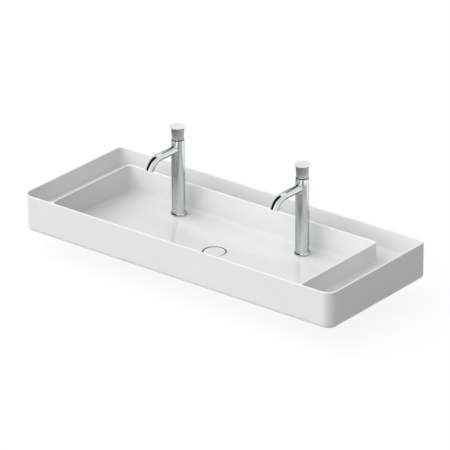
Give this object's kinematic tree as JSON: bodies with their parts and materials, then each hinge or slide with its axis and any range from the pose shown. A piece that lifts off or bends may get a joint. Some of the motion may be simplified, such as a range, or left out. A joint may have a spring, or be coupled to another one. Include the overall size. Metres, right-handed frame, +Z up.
{
  "type": "washbasin with two mixers",
  "caption": "Long rectangular ceramic washbasin with a raised inner bowl, a surrounding tray, tall mixers with tilting fluted knobs, and a lift-out drain cover.",
  "frame": {"origin": "middle of the plane the basin stands on, on the underside of the waste boss", "axes": "+X along the basin's width towards its right end, +Y towards the wall, +Z up out of the bowl"},
  "size_m": [1.2, 0.48, 0.408],
  "materials": {
    "glazed_ceramic": "gloss",
    "chrome_plate": "polished",
    "black_rubber": "matte",
    "white_plastic": "satin",
    "stainless_steel": "brushed",
    "brass": "machined"
  },
  "bodies": {
    "basin": {"basin": "glazed_ceramic", "waste_body": "chrome_plate", "waste_top_seal": "black_rubber", "waste_bottom_seal": "black_rubber", "waste_washer": "white_plastic", "waste_locknut": "brass", "left_mixer_body": "chrome_plate", "left_foot_ring": "chrome_plate", "left_foot_seal": "black_rubber", "left_aerator_ring": "chrome_plate", "left_aerator_insert": "white_plastic", "left_cartridge": "white_plastic", "left_cartridge_nut": "brass", "left_stud": "stainless_steel", "left_deck_gasket": "black_rubber", "left_clamp_plate": "stainless_steel", "left_stud_nut": "brass", "right_mixer_body": "chrome_plate", "right_foot_ring": "chrome_plate", "right_foot_seal": "black_rubber", "right_aerator_ring": "chrome_plate", "right_aerator_insert": "white_plastic", "right_cartridge": "white_plastic", "right_cartridge_nut": "brass", "right_stud": "stainless_steel", "right_deck_gasket": "black_rubber", "right_clamp_plate": "stainless_steel", "right_stud_nut": "brass"},
    "cover": {"drain_cover": "glazed_ceramic", "cover_stem": "white_plastic"},
    "left_turn": {"left_turn_yoke": "white_plastic", "left_dome_cap": "chrome_plate", "left_pivot_pin": "stainless_steel"},
    "left_handle": {"left_stem": "stainless_steel", "left_knob": "chrome_plate", "left_knob_disc": "chrome_plate", "left_grub_screw": "stainless_steel"},
    "right_turn": {"right_turn_yoke": "white_plastic", "right_dome_cap": "chrome_plate", "right_pivot_pin": "stainless_steel"},
    "right_handle": {"right_stem": "stainless_steel", "right_knob": "chrome_plate", "right_knob_disc": "chrome_plate", "right_grub_screw": "stainless_steel"}
  },
  "joints": [
    {"name": "cover_lift", "type": "slide", "parent": "basin", "child": "cover", "axis": [0, 0, 1], "range_m": [0, 0.018]},
    {"name": "left_temperature", "type": "hinge", "parent": "basin", "child": "left_turn", "pos_m": [-0.242, 0.09, 0.26], "axis": [0, 0, 1], "range_deg": [-45, 45]},
    {"name": "left_flow", "type": "hinge", "parent": "left_turn", "child": "left_handle", "pos_m": [-0.242, 0.09, 0.26], "axis": [1, 0, 0], "range_deg": [0, 20]},
    {"name": "right_temperature", "type": "hinge", "parent": "basin", "child": "right_turn", "pos_m": [0.242, 0.09, 0.26], "axis": [0, 0, 1], "range_deg": [-45, 45]},
    {"name": "right_flow", "type": "hinge", "parent": "right_turn", "child": "right_handle", "pos_m": [0.242, 0.09, 0.26], "axis": [1, 0, 0], "range_deg": [0, 20]}
  ]
}
